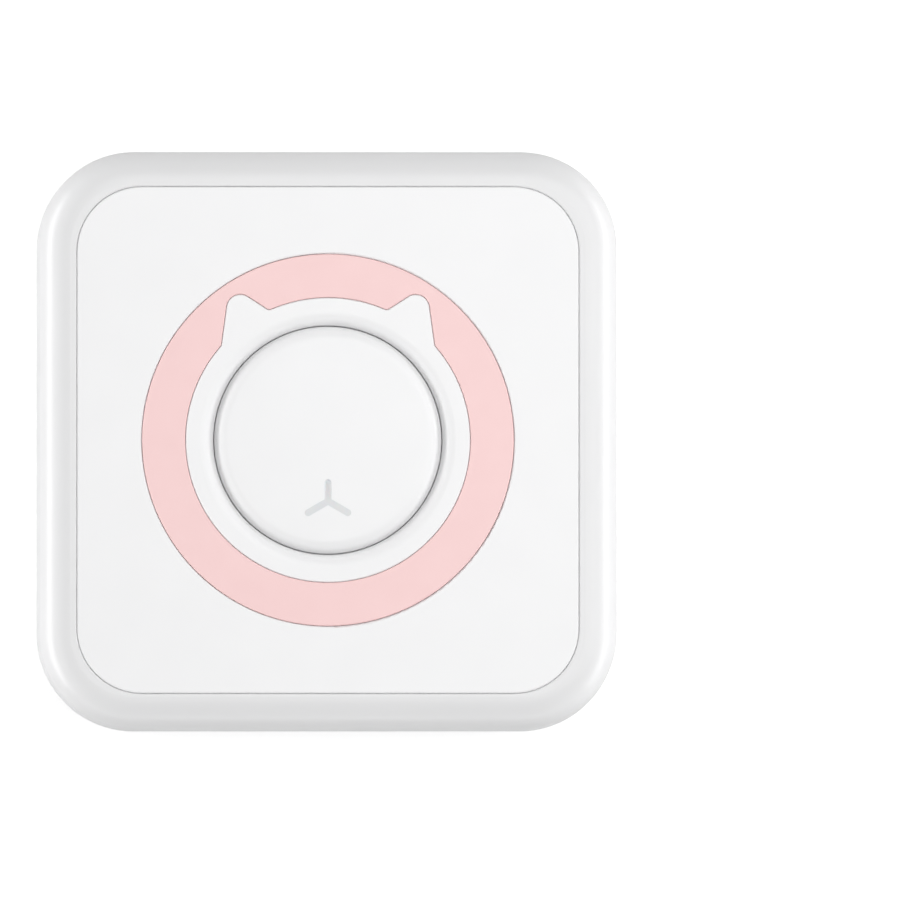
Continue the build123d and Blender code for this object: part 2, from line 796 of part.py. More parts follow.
def cover_liner():
    """Inner lid of the cover, with the two arms that carry the platen and the contact post."""
    inset = part_gap + liner_inset
    liner = plate(inner_width - 2 * inset, inner_length - 2 * inset, inner_corner - inset,
                  liner_bottom, liner_top)
    for x, y in liner_screw_spots:
        liner -= post(x, y, liner_screw_shank + screw_slack, 0, body_depth)
    arm_profile = [(platen_y - arm_root_half, liner_bottom), (platen_y - arm_round, platen_height),
                   (platen_y + arm_round, platen_height), (platen_y + arm_root_half, liner_bottom)]
    arm = across(arm_profile, arm_inner, arm_outer)
    arm += rod(platen_y, platen_height, arm_round, arm_inner, arm_outer)
    arm -= rod(platen_y, platen_height, bush_radius, 0, body_width)
    liner += mirrored(arm)
    rib_y = platen_y + platen_radius + liner_rib_gap
    liner += block((-arm_inner, arm_inner), (rib_y, rib_y + liner_thickness),
                   (liner_bottom - liner_rib_drop, liner_bottom))
    return liner + contact_post(0, contact_height + board_thickness, liner_bottom) \
        - contact_post(contact_post_wall, 0, body_depth)


def contact_post(inset, bottom, top):
    """Block of the contact post's outline, drawn in by the inset."""
    side, end = contact_inset - inset, contact_post_margin - inset
    return block((contact_left - side, contact_right + side), (contact_rear - end, contact_front + end),
                 (bottom, top))


def liner_screws():
    """Four screws that hold the liner under the cover."""
    screws = [screw(x, y, liner_screw_head, liner_screw_shank, liner_bottom - screw_head_thickness,
                    cover_ceiling - part_gap) for x, y in liner_screw_spots]
    return Compound(children=screws)


def contact_board():
    """Small board with contact pads at the foot of the liner's post."""
    return contact_post(0, contact_height, contact_height + board_thickness)


def button_flex():
    """Flat cable from the button board over the liner and down the post to the contact board."""
    top = liner_top + flex_thickness
    middle_x = contact_middle
    half = flex_width / 2
    drop_y = contact_front + contact_post_margin - contact_post_wall - flex_thickness
    run = block((0, middle_x + half), (flex_lane_y - half, flex_lane_y + half), (liner_top, top))
    run += block((middle_x - half, middle_x + half), (flex_lane_y, drop_y), (liner_top, top))
    drop = block((middle_x - half, middle_x + half), (drop_y - flex_thickness, drop_y),
                 (contact_height + board_thickness, top))
    return run + drop - post(0, 0, button_board_radius, 0, body_depth)


def hinge_pin():
    """Steel pin through all the knuckles."""
    return rod(hinge_y, hinge_height, pin_radius, -hinge_half_length, hinge_half_length)


def paper_roll():
    """Wound paper."""
    return roll_tube(roll_radius, core_outer)


def roll_core():
    """Tube that the paper is wound on."""
    return roll_tube(core_outer, core_inner)


def roll_tube(outer, inner):
    """Tube of the roll's length round the roll's axis."""
    half = roll_length / 2
    return rod(roll_y, roll_height, outer, -half, half) - rod(roll_y, roll_height, inner, -half, half)


def paper_web():
    """Paper from the roll's front over the deck's lip, through the nip and into the slot."""
    front = roll_y + roll_radius + part_gap + paper_thickness
    nip = heater_top + web_gap + paper_thickness / 2
    over_deck = deck_height + web_gap + paper_thickness / 2
    nip_half = heater_width / 3
    route = [(front, roll_height + 2 * web_gap), (front + web_gap, under_deck),
             (front + 2 * web_gap, over_deck), (mouth_rear - 2 * part_gap, over_deck),
             (platen_y - nip_half, nip), (platen_y + nip_half, nip),
             (body_length / 2 - 2 * part_gap, tear_bar_bottom + tear_bar_thickness + 5 * web_gap)]
    return across(thick_line(route, paper_thickness), -roll_length / 2, roll_length / 2)


def tear_bar():
    """Steel strip with saw teeth along the paper slot."""
    half = roll_length / 2 + tear_bar_margin
    rear, front = inner_length / 2 - tear_bar_land, body_length / 2 - part_gap
    valley = front - tear_tooth_height
    tooth_count = round(2 * half / tear_tooth_pitch)
    pitch = 2 * half / tooth_count
    saw = []
    for tooth in range(tooth_count):
        saw += [(-half + tooth * pitch, valley), (-half + (tooth + 0.5) * pitch, front)]
    outline = [(-half, rear)] + saw + [(half, valley), (half, rear)]
    strip = extrude(make_face(Polyline(*outline, close=True)), tear_bar_thickness)
    return Pos(0, 0, tear_bar_bottom) * strip


def platen_rubber():
    """Rubber sleeve of the feed roller."""
    half = platen_length / 2
    sleeve = rod(platen_y, platen_height, platen_radius, -half, half)
    return sleeve - rod(platen_y, platen_height, platen_shaft_radius, -half, half)


def platen_shaft():
    """Steel shaft of the feed roller."""
    return rod(platen_y, platen_height, platen_shaft_radius, -gear_outer,
               frame_outer + platen_shaft_end)


def platen_bushes():
    """Two bushes that carry the shaft and drop into the frame's open slots."""
    bore = rod(platen_y, platen_height, platen_shaft_radius + running_gap, -body_width, body_width)
    bush = rod(platen_y, platen_height, bush_radius, arm_inner - bush_proud, frame_outer + bush_proud)
    bush -= bore
    return Compound(children=[bush, mirror(bush, about=Plane.YZ)])


def gear(teeth, y, z, left, right, phase):
    """Spur gear along X with straight-flanked teeth, one of them centred on the phase angle."""
    pitch_radius = gear_module * teeth / 2
    tip = pitch_radius + 0.95 * gear_module
    root = pitch_radius - 1.25 * gear_module
    step = 2 * math.pi / teeth
    points = []
    for tooth in range(teeth):
        for radius, share in ((root, -0.30), (tip, -0.11), (tip, 0.11), (root, 0.30)):
            angle = phase + (tooth + share) * step
            points.append((y + radius * math.cos(angle), z + radius * math.sin(angle)))
    return across(points, left, right)


def gear_distance(first_teeth, second_teeth):
    """Centre distance of a pair, with a little backlash."""
    return gear_module * (first_teeth + second_teeth) / 2 + gear_backlash


# The idler stands where the platen gear leaves it straight as the cover lifts
lever = math.hypot(platen_y - hinge_y, platen_height - hinge_height)
lift_y = -(platen_height - hinge_height) / lever
lift_z = (platen_y - hinge_y) / lever
idler_y = platen_y - lift_y * gear_distance(platen_teeth, idler_small_teeth)
idler_height = platen_height - lift_z * gear_distance(platen_teeth, idler_small_teeth)
motor_y = idler_y - math.sqrt(gear_distance(idler_large_teeth, pinion_teeth) ** 2
                              - (idler_height - motor_height) ** 2)
to_idler = math.atan2(idler_height - platen_height, idler_y - platen_y)
to_motor = math.atan2(motor_height - idler_height, motor_y - idler_y)


def platen_gear():
    """Gear on the platen's left end."""
    wheel = gear(platen_teeth, platen_y, platen_height, -gear_outer, -gear_inner, to_idler)
    return wheel - rod(platen_y, platen_height, platen_shaft_radius, -body_width, 0)


def idler_gear():
    """Compound gear between the motor pinion and the platen gear."""
    small_phase = to_idler + math.pi + math.pi / idler_small_teeth
    wheel = gear(idler_small_teeth, idler_y, idler_height, -pinion_inner, -gear_inner, small_phase)
    wheel += gear(idler_large_teeth, idler_y, idler_height, -pinion_outer, -pinion_inner, to_motor)
    return wheel - rod(idler_y, idler_height, idler_pin_radius + running_gap, -body_width, 0)


def idler_pin():
    """Fixed pin that the compound gear turns on."""
    return rod(idler_y, idler_height, idler_pin_radius, -pinion_outer - gear_side_gap, -frame_inner)


def motor_pinion():
    """Pinion on the motor's shaft."""
    phase = to_motor + math.pi + math.pi / pinion_teeth
    wheel = gear(pinion_teeth, motor_y, motor_height, -pinion_outer, -pinion_inner, phase)
    return wheel - rod(motor_y, motor_height, motor_shaft_radius, -body_width, 0)


def motor_shaft():
    """Shaft that carries the pinion."""
    return rod(motor_y, motor_height, motor_shaft_radius, -pinion_outer, -frame_inner + motor_shaft_depth)


def stepper_motor():
    """Can-shaped stepper motor with two mounting ears."""
    right = -frame_inner + motor_length
    can = rod(motor_y, motor_height, motor_radius, -frame_inner, right)
    can = fillet(can.edges().filter_by(GeomType.CIRCLE), motor_roll)
    can += block((-frame_inner, -frame_inner + motor_ear_thickness),
                 (motor_y - motor_ear_reach, motor_y + motor_ear_reach),
                 (motor_height - motor_ear_half, motor_height + motor_ear_half))
    can -= rod(motor_y, motor_height, motor_shaft_radius + running_gap, -frame_inner - 1,
               -frame_inner + motor_shaft_depth + part_gap)
    for side in (-1, 1):
        can -= rod(motor_y + side * motor_screw_reach, motor_height, motor_screw_shank,
                   -frame_inner - 1, -frame_inner + 1)
    return can


def motor_screws():
    """Two screws that fix the motor's ears to the frame."""
    screws = []
    for side in (-1, 1):
        y = motor_y + side * motor_screw_reach
        head = rod(y, motor_height, motor_screw_head, -frame_outer - motor_screw_head_height, -frame_outer)
        tip = -frame_inner + motor_ear_thickness
        screws.append(head + rod(y, motor_height, motor_screw_shank, -frame_outer, tip))
    return Compound(children=screws)


def side_plate(left, right, rear, bottom):
    """Frame cheek with the open slot for a platen bush."""
    top = platen_height + cheek_rise
    slot = bush_radius + part_gap
    low_top = under_deck - part_gap
    profile = [(rear, bottom), (cross_front, bottom), (cross_front, top), (platen_y - slot - cheek_lip, top),
               (mouth_rear + part_gap, low_top), (rear, low_top)]
    cheek = across(profile, left, right)
    flare = cheek_rise / 2
    mouth = [(slot, platen_height), (slot, top - flare), (slot + flare, top), (slot + flare, top + 1)]
    mouth += [(-reach, height) for reach, height in mouth[::-1]]
    cheek -= across([(platen_y + reach, height) for reach, height in mouth], left, right)
    cheek -= rod(platen_y, platen_height, slot, left, right)
    return cheek - rod(sink_pin_y, sink_pin_height, sink_pin_radius, left, right)


def print_frame():
    """Folded metal frame of the print mechanism."""
    frame = side_plate(-frame_outer, -frame_inner, motor_y - motor_ear_reach,
                       motor_height - motor_ear_half - part_gap)
    frame += side_plate(frame_inner, frame_outer, rear_bar_rear, cross_height)
    frame += block((-frame_inner, frame_inner), (platen_y, cross_front),
                   (cross_height, cross_height + frame_plate))
    frame += block((-frame_inner, frame_inner), (rear_bar_rear, rear_bar_front),
                   (rear_bar_height, rear_bar_height + frame_plate))
    for x, y in frame_front_screws + frame_rear_screws:
        frame -= post(x, y, frame_screw_shank + screw_slack, 0, body_depth)
    frame -= rod(motor_y, motor_height, motor_shaft_radius + motor_boss_gap, -body_width, 0)
    frame -= rod(idler_y, idler_height, idler_pin_radius, -body_width, 0)
    for side in (-1, 1):
        frame -= rod(motor_y + side * motor_screw_reach, motor_height, motor_screw_shank, -body_width, 0)
    return frame - leaf_rivet(0, body_depth)


def leaf_rivet(bottom, top):
    """Square rivet that holds the leaf spring on the cross bar."""
    return block((-leaf_rivet_half, leaf_rivet_half), (leaf_y - leaf_rivet_half, leaf_y + leaf_rivet_half),
                 (bottom, top))


def frame_screws():
    """Four screws that fix the frame to the base's bosses."""
    screws = []
    for spots, seat in ((frame_front_screws, cross_height), (frame_rear_screws, rear_bar_height)):
        for x, y in spots:
            screws.append(screw(x, y, frame_screw_head, frame_screw_shank,
                                seat + frame_plate + screw_head_thickness, seat - frame_screw_depth))
    return Compound(children=screws)


def heat_sink():
    """Aluminium plate that carries the print head, with a barrel for the pivot pin."""
    half = frame_inner - part_gap
    sink = block((-half, half), (sink_pin_y, platen_y + sink_ahead), (sink_bottom, sink_top))
    sink += rod(sink_pin_y, sink_pin_height, sink_barrel_radius, -half, half)
    return sink - rod(sink_pin_y, sink_pin_height, sink_pin_radius + running_gap, -half, half)


def heater_bar():
    """Ceramic print head that the platen presses the paper on."""
    half = platen_length / 2 + part_gap
    return block((-half, half), (platen_y - heater_width / 2, platen_y + heater_width / 2),
                 (sink_top, heater_top))


def head_pivot():
    """Pin that the print head rocks on."""
    return rod(sink_pin_y, sink_pin_height, sink_pin_radius, -frame_outer, frame_outer)


def leaf_spring():
    """Bent strip that presses the head up, riveted to the frame's cross bar."""
    seat = cross_height + frame_plate + leaf_thickness / 2
    lift = sink_bottom - leaf_thickness / 2
    tip, droop = leaf_tip
    half_route = [(leaf_seat_half, seat), (leaf_reach, lift), (leaf_reach + tip, lift - droop)]
    route = [(-x, z) for x, z in half_route[::-1]] + half_route
    section = Plane.XZ * make_face(Polyline(*thick_line(route, leaf_thickness), close=True))
    strip = Pos(0, leaf_y + leaf_width / 2, 0) * extrude(section, leaf_width, dir=(0, -1, 0))
    return strip + leaf_rivet(cross_height, seat)


def head_flex():
    """Flat cable from the print head down to the main board."""
    start = sink_bottom - flex_thickness / 2
    slot_top = main_board_top + flex_socket_height
    drop = start - slot_top
    route = [(flex_socket_middle + head_flex_bulge, start),
             (flex_socket_middle - head_flex_bulge / 2, start - drop / 8),
             (flex_socket_middle - head_flex_bulge, start - drop / 2),
             (flex_socket_middle, slot_top + part_gap),
             (flex_socket_middle, main_board_top + flex_slot_floor + flex_thickness)]
    return across(thick_line(route, flex_thickness), flex_left, flex_left + head_flex_width)


def flex_socket():
    """Connector that the head's flat cable plugs into."""
    right = flex_left + head_flex_width
    half_slot = flex_slot_width / 2
    body = block((flex_left - flex_socket_cheek, right + flex_socket_cheek),
                 (flex_socket_rear, flex_socket_rear + flex_socket_depth),
                 (main_board_top, main_board_top + flex_socket_height))
    return body - block((flex_left - half_slot, right + half_slot),
                        (flex_socket_middle - half_slot, flex_socket_middle + half_slot),
                        (main_board_top + flex_slot_floor, body_depth))


def main_board():
    """Main circuit board."""
    board = block((main_board_left, main_board_right), (main_board_rear, main_board_front),
                  (main_board_height, main_board_top))
    corner = board.edges().filter_by(Axis.Z).group_by(Axis.Y)[-1].sort_by(Axis.X)[-1]
    board = chamfer(corner, main_board_chamfer)
    for x, y in frame_front_screws:
        if x > main_board_left:
            board -= post(x, y, frame_boss_radius + part_gap, 0, body_depth)
    for x, y in board_screw_spots:
        board -= post(x, y, board_screw_shank + running_gap, 0, body_depth)
    return board


def board_screws():
    """Two screws that hold the main board."""
    screws = [screw(x, y, board_screw_head, board_screw_shank, main_board_top + screw_head_thickness,
                    floor_thickness + part_gap) for x, y in board_screw_spots]
    return Compound(children=screws)


def on_board(spot, size):
    """Block on the main board, its place counted from the board's rear left corner."""
    left, rear = main_board_left + spot[0], main_board_rear + spot[1]
    return block((left, left + size[0]), (rear, rear + size[1]), (main_board_top, main_board_top + size[2]))


def radio_module():
    """Shielded radio module."""
    return fillet(top_edges(on_board(radio_spot, radio_size)), radio_roll)


def board_chips():
    """Processor, motor driver and memory."""
    return Compound(children=[on_board(processor_spot, processor_size), on_board(driver_spot, driver_size),
                              on_board(memory_spot, memory_size)])


def reset_switch():
    """Small switch on the underside of the board, behind the pin hole."""
    half = reset_switch_size / 2
    bottom = main_board_height - reset_switch_height
    body = block((pin_hole_x - half, pin_hole_x + half), (pin_hole_y - half, pin_hole_y + half),
                 (bottom, main_board_height))
    return body + post(pin_hole_x, pin_hole_y, reset_knob_radius, bottom - reset_knob_height, bottom)


def usb_socket():
    """Metal shell of the charging socket, open to the right."""
    rear = socket_mouth - socket_depth
    low, high = main_board_top, main_board_top + socket_height
    half = socket_width / 2
    shell = block((rear, socket_mouth), (socket_y - half, socket_y + half), (low, high))
    shell = fillet(shell.edges().filter_by(Axis.X), socket_corner)
    inside = block((rear + socket_back, socket_mouth + 1), (socket_y - half + socket_skin,
                   socket_y + half - socket_skin), (low + socket_skin, high - socket_skin))
    return shell - fillet(inside.edges().filter_by(Axis.X), socket_corner - socket_skin)


def usb_tongue():
    """Contact tongue inside the charging socket."""
    middle = main_board_top + socket_height / 2 + tongue_rise
    return block((socket_mouth - socket_depth + socket_back, socket_mouth - tongue_setback),
                 (socket_y - tongue_width / 2, socket_y + tongue_width / 2),
                 (middle - tongue_thickness / 2, middle + tongue_thickness / 2))


def contact_block():
    """Block on the main board that holds the spring contacts."""
    body = block((contact_left, contact_right), (contact_rear, contact_front),
                 (main_board_top, contact_block_top))
    for y in contact_pin_spots:
        body -= post(contact_middle, y, contact_pin_radius, contact_pin_foot(), body_depth)
    return body


def contact_pin_foot():
    """Height at which the spring contacts stand in their block."""
    return main_board_top + (contact_block_top - main_board_top) / 6


def contact_pins():
    """Spring contacts that touch the cover's contact board."""
    pins = []
    for y in contact_pin_spots:
        pin = post(contact_middle, y, contact_pin_radius, contact_pin_foot(), contact_height - running_gap)
        pins.append(fillet(pin.edges().filter_by(GeomType.CIRCLE).sort_by(Axis.Z)[-1], contact_pin_round))
    return Compound(children=pins)


def battery():
    """Rechargeable cell in its soft pack."""
    half = battery_length / 2
    pack = block((-half, half), (battery_y - battery_width / 2, battery_y + battery_width / 2),
                 (battery_bottom, battery_bottom + battery_height))
    return fillet(pack.edges().filter_by(Axis.X), battery_roll)


def lead_route(offset_z):
    """Route of one battery lead along the right of the cradle."""
    end_x = battery_length / 2
    exit_z = battery_bottom + battery_height - lead_exit_drop + offset_z
    plug_z = main_board_top + lead_plug_size[2] / 2 - lead_pitch / 2 + offset_z
    lane = [battery_y + share * (lead_plug_y - battery_y) for share in lead_lane_shares]
    return [(end_x, battery_y, exit_z), (end_x + lead_stub, battery_y, exit_z),
            (lead_lane_x, lane[0], exit_z - lead_sag[0]), (lead_lane_x, lane[1], exit_z - lead_sag[1]),
            (lead_lane_x, lane[2], plug_z), (lead_lane_x, lead_plug_y, plug_z)]


def lead(name, offset_z):
    """One battery lead as an unbroken tube; prints its radii and compares its volume."""
    points = [Vector(*point) for point in lead_route(offset_z)]
    radii = []
    for before, corner, after in zip(points, points[1:], points[2:]):
        turn = math.radians((corner - before).get_angle(after - corner))
        radii.append(0.45 * min((corner - before).length, (after - corner).length) / math.tan(turn / 2))
    path = FilletPolyline(*points, radius=radii)
    tube = sweep(Plane(origin=path @ 0, z_dir=path % 0) * Circle(lead_radius), path)
    ideal = math.pi * lead_radius ** 2 * path.length
    print(name, "radii", [round(radius, 1) for radius in radii], "length", round(path.length, 1),
          "volume ratio", round(tube.volume / ideal, 4))
    return tube


def lead_plug():
    """Plug of the battery leads, in its header on the main board."""
    width, length, height = lead_plug_size
    return block((lead_lane_x - width / 2, lead_lane_x + width / 2), (lead_plug_y, lead_plug_y + length),
                 (main_board_top, main_board_top + height))


nodes = {
    "base_shell": base_shell(),
    "case_screws": case_screws(),
    "chassis": chassis(),
    "paper_sensor": paper_sensor(),
    "hinge_pin": hinge_pin(),
    "tear_bar": tear_bar(),
    "paper_web": paper_web(),
    "print_frame": print_frame(),
    "frame_screws": frame_screws(),
    "leaf_spring": leaf_spring(),
    "head_pivot": head_pivot(),
    "head_flex": head_flex(),
    "flex_socket": flex_socket(),
    "heat_sink": heat_sink(),
    "heater_bar": heater_bar(),
    "stepper_motor": stepper_motor(),
    "motor_screws": motor_screws(),
    "motor_shaft": motor_shaft(),
    "motor_pinion": motor_pinion(),
    "idler_gear": idler_gear(),
    "idler_pin": idler_pin(),
    "main_board": main_board(),
    "board_screws": board_screws(),
    "radio_module": radio_module(),
    "board_chips": board_chips(),
    "reset_switch": reset_switch(),
    "usb_socket": usb_socket(),
    "usb_tongue": usb_tongue(),
    "contact_block": contact_block(),
    "contact_pins": contact_pins(),
    "battery": battery(),
    "battery_lead_positive": lead("battery_lead_positive", lead_pitch),
    "battery_lead_negative": lead("battery_lead_negative", 0),
    "lead_plug": lead_plug(),
    "paper_roll": paper_roll(),
    "roll_core": roll_core(),
    "cover_shell": cover_shell(),
    "face_panel": face_panel(),
    "ring_inlay": ring_inlay(),
    "ear_plate": ear_plate(),
    "cover_liner": cover_liner(),
    "liner_screws": liner_screws(),
    "button_board": button_board(),
    "tact_switch": tact_switch(),
    "indicator_lamp": indicator_lamp(),
    "button_flex": button_flex(),
    "contact_board": contact_board(),
    "platen_bushes": platen_bushes(),
    "platen_rubber": platen_rubber(),
    "platen_shaft": platen_shaft(),
    "platen_gear": platen_gear(),
    "button": button(),
    "light_mark": light_mark(),
    "switch_plunger": switch_plunger(),
}

os.makedirs("parts", exist_ok=True)
for name, shape in nodes.items():
    export_step(shape, f"parts/{name}.step")
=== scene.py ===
import math
import random

import bmesh
import bpy
from mathutils import Matrix, Vector


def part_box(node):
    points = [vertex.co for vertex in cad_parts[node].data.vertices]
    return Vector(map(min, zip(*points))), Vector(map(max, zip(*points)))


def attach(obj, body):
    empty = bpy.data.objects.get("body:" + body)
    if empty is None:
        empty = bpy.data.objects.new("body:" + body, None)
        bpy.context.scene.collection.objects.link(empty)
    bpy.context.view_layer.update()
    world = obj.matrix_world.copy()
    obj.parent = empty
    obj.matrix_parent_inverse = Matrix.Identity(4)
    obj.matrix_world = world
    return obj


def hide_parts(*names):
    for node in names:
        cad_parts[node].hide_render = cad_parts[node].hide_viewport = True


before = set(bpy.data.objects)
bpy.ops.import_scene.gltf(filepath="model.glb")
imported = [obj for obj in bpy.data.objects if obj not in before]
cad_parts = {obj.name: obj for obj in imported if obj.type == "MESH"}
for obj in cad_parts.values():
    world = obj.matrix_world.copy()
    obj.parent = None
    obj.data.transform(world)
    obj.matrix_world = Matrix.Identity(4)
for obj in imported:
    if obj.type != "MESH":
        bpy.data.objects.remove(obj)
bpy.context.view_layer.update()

bl_info = {
    "name": "Portable label printer",
    "version": (1, 0, 0),
    "blender": (4, 5, 0),
    "location": "View3D > Sidebar > Printer",
    "description": "Finishes, small inner parts, lamps and camera for a portable label printer",
    "category": "Object",
}


def cad_middle(node):
    """Middle of a CAD node's box, in metres."""
    low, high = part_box(node)
    return (low + high) / 2


FACE_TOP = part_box("face_panel")[1].z
ROLL_MIDDLE = cad_middle("paper_roll")
PLATEN_MIDDLE = cad_middle("platen_rubber")

# Lamps, in metres
LOW_LAMP_AWAY = 0.62
LOW_LAMP_HEIGHT = 0.14
LOW_LAMP_SIZE = (0.20, 0.90)
TOP_LAMP_PLACE = (0.15, 0.11, 0.59)
TOP_LAMP_SIDE = 0.55

# Floor: half its side, its white, and the glow that the camera sees, which grows with the distance
FLOOR_REACH = 6.0
FLOOR_WHITE = (0.82, 0.82, 0.82, 1)
GLOW_NEAR, GLOW_FAR = 0.5, 1.0
GLOW_STARTS, GLOW_ENDS = 0.20, 0.60

# Camera: sensor in millimetres, reach in metres, and where the photo has the printer in its frame
SENSOR_WIDTH = 36
VIEW_REACH = 20
FRAME_SHIFT = (0.1356, -0.0111)

# Small soldered parts: half length and half width, height, and the free room round them
PART_HALF = (0.0005, 0.00028)
PART_HEIGHT = 0.0005
PART_SINK = 0.00002
PART_MARGIN = 0.0009
PART_SPACING = 0.0017
PART_SEED = 7

# Their ceramic body and tinned ends, as shares of the part
BODY_SHARE = 0.5
END_SHARE = 0.25
END_MIDDLE = 0.75
END_WIDTH = 1.03
END_HEIGHT = 1.04

# Main board: free edge, cut corner, and how far apart two points of one chip can be
BOARD_EDGE = 0.001
BOARD_CORNER = 0.0065
CHIP_REACH = 0.0075

# Tracks and pads, as scales of their textures
TRACK_SCALE = 300
PAD_SCALE = 520
FLEX_TRACK_SCALE = 330

# Heater line: from its middle to where it is still dark, and to where it ends
HEATER_LINE_DARK = 0.0003
HEATER_LINE_END = 0.0004

# Paper: thickness, its middle above what it lies on, half the flat at the nip, steps of its curve
PAPER_THICKNESS = 0.00008
PAPER_LIFT = 0.0002
NIP_HALF = 0.0035
ROUTE_STEPS = 10


# Sizes and colours that a user would change

class ShellSettings(bpy.types.PropertyGroup):
    """Finish of the outer mouldings."""
    # Darker than the panel white, though it is the same plastic: the difference is painted shade on the
    # cover's rounded rim
    shaded_shell_white: bpy.props.FloatVectorProperty(
        name="Shell white", description="Colour of the cover and the back", subtype="COLOR",
        size=3, min=0, max=1, default=(0.83, 0.83, 0.835))
    panel_white: bpy.props.FloatVectorProperty(
        name="Panel white", description="Colour of the face panel, ear plate and button", subtype="COLOR",
        size=3, min=0, max=1, default=(0.935, 0.935, 0.94))
    ring_pink: bpy.props.FloatVectorProperty(
        name="Ring pink", description="Colour of the ring inlay", subtype="COLOR",
        size=3, min=0, max=1, default=(0.98, 0.68, 0.672))
    mark_grey: bpy.props.FloatVectorProperty(
        name="Mark grey", description="Colour of the light mark", subtype="COLOR",
        size=3, min=0, max=1, default=(0.78, 0.78, 0.79))
    gloss: bpy.props.FloatProperty(
        name="Roughness", description="Mean roughness of the glossy mouldings", subtype="FACTOR",
        min=0.05, max=0.8, default=0.32)


class InsideSettings(bpy.types.PropertyGroup):
    """Finish and small parts inside the body."""
    inner_white: bpy.props.FloatVectorProperty(
        name="Inner white", description="Colour of the chassis and liner", subtype="COLOR",
        size=3, min=0, max=1, default=(0.76, 0.76, 0.765))
    board_green: bpy.props.FloatVectorProperty(
        name="Board green", description="Colour of the circuit boards", subtype="COLOR",
        size=3, min=0, max=1, default=(0.03, 0.20, 0.10))
    paper_white: bpy.props.FloatVectorProperty(
        name="Paper white", description="Colour of the thermal paper", subtype="COLOR",
        size=3, min=0, max=1, default=(0.86, 0.86, 0.85))
    paper_layer: bpy.props.FloatProperty(
        name="Paper layer", description="Spacing of the layers that show on the roll's ends",
        subtype="DISTANCE", unit="LENGTH", min=0.00005, max=0.001, default=0.00035, precision=5)
    capacitor_count: bpy.props.IntProperty(
        name="Capacitors", description="Small capacitors and resistors on the main board",
        min=0, max=80, default=34)


class StageSettings(bpy.types.PropertyGroup):
    """Floor, lamps and camera."""
    frame_width: bpy.props.FloatProperty(
        name="Frame width", description="Width that the picture covers at the height of the face",
        unit="LENGTH", subtype="DISTANCE", min=0.02, max=2, default=0.1316)
    camera_distance: bpy.props.FloatProperty(
        name="Camera distance", description="Distance from the camera to the face", unit="LENGTH",
        subtype="DISTANCE", min=0.1, max=10, default=3.0)
    tilt_left: bpy.props.FloatProperty(
        name="Tilt left", description="Lean of the camera towards the left edge", unit="ROTATION",
        subtype="ANGLE", default=math.radians(0.7))
    tilt_near: bpy.props.FloatProperty(
        name="Tilt near", description="Lean of the camera towards the hinge edge", unit="ROTATION",
        subtype="ANGLE", default=math.radians(1.05))
    left_power: bpy.props.FloatProperty(
        name="Left lamp", description="Power of the low lamp on the left", unit="POWER",
        min=0, max=100, default=3.2)
    right_power: bpy.props.FloatProperty(
        name="Right lamp", description="Power of the low lamp on the right", unit="POWER",
        min=0, max=100, default=2.3)
    near_power: bpy.props.FloatProperty(
        name="Near lamp", description="Power of the low lamp on the hinge side", unit="POWER",
        min=0, max=100, default=0.8)
    top_power: bpy.props.FloatProperty(
        name="Top lamp", description="Power of the lamp overhead", unit="POWER",
        min=0, max=100, default=2.5)
    sky: bpy.props.FloatProperty(
        name="Room light", description="Brightness of the room around the stage", min=0, max=2, default=0.15)


# Materials

def new_tree(name):
    """Empty material with its output node; returns the material and its node tree."""
    material = bpy.data.materials.new(name)
    material.use_nodes = True
    tree = material.node_tree
    tree.nodes.clear()
    tree.nodes.new("ShaderNodeOutputMaterial")
    return material, tree


def place_in_metres(tree, stretch=(1, 1, 1)):
    """Coordinates of the piece in metres, stretched along the axes."""
    coordinates = tree.nodes.new("ShaderNodeTexCoord")
    mapping = tree.nodes.new("ShaderNodeMapping")
    mapping.inputs["Scale"].default_value = stretch
    tree.links.new(coordinates.outputs["Object"], mapping.inputs["Vector"])
    return mapping.outputs["Vector"]


def grain(tree, per_metre, detail=3.0, roughness=0.5, stretch=(1, 1, 1)):
    """Noise with about that many blotches to the metre."""
    noise = tree.nodes.new("ShaderNodeTexNoise")
    noise.inputs["Scale"].default_value = per_metre
    noise.inputs["Detail"].default_value = detail
    noise.inputs["Roughness"].default_value = roughness
    tree.links.new(place_in_metres(tree, stretch), noise.inputs["Vector"])
    return noise.outputs["Fac"]


def between(tree, factor, low, high, start=0.3, end=0.7):
    """Number that runs from low to high as the factor runs from start to end."""
    spread = tree.nodes.new("ShaderNodeMapRange")
    spread.inputs["From Min"].default_value = start
    spread.inputs["From Max"].default_value = end
    spread.inputs["To Min"].default_value = low
    spread.inputs["To Max"].default_value = high
    tree.links.new(factor, spread.inputs["Value"])
    return spread.outputs["Result"]


def maths(tree, operation, first, second=None):
    """Result of an operation on a number socket, with a number or a second socket where it takes two."""
    node = tree.nodes.new("ShaderNodeMath")
    node.operation = operation
    tree.links.new(first, node.inputs[0])
    if isinstance(second, bpy.types.NodeSocket):
        tree.links.new(second, node.inputs[1])
    elif second is not None:
        node.inputs[1].default_value = second
    return node.outputs["Value"]


def tint(colour, share):
    """The colour made lighter or darker by a share."""
    return tuple(min(1.0, max(0.0, channel * (1 + share))) for channel in colour) + (1.0,)


def blended(tree, factor, first, second):
    """Colour between two colours or colour sockets."""
    mix = tree.nodes.new("ShaderNodeMix")
    mix.data_type = "RGBA"
    tree.links.new(factor, mix.inputs["Factor"])
    for socket, value in ((mix.inputs["A"], first), (mix.inputs["B"], second)):
        if isinstance(value, bpy.types.NodeSocket):
            tree.links.new(value, socket)
        else:
            socket.default_value = value
    return mix.outputs["Result"]


def raised(tree, height, depth):
    """Bump of that depth in metres."""
    bump = tree.nodes.new("ShaderNodeBump")
    bump.inputs["Strength"].default_value = 1.0
    bump.inputs["Distance"].default_value = depth
    tree.links.new(height, bump.inputs["Height"])
    return bump.outputs["Normal"]


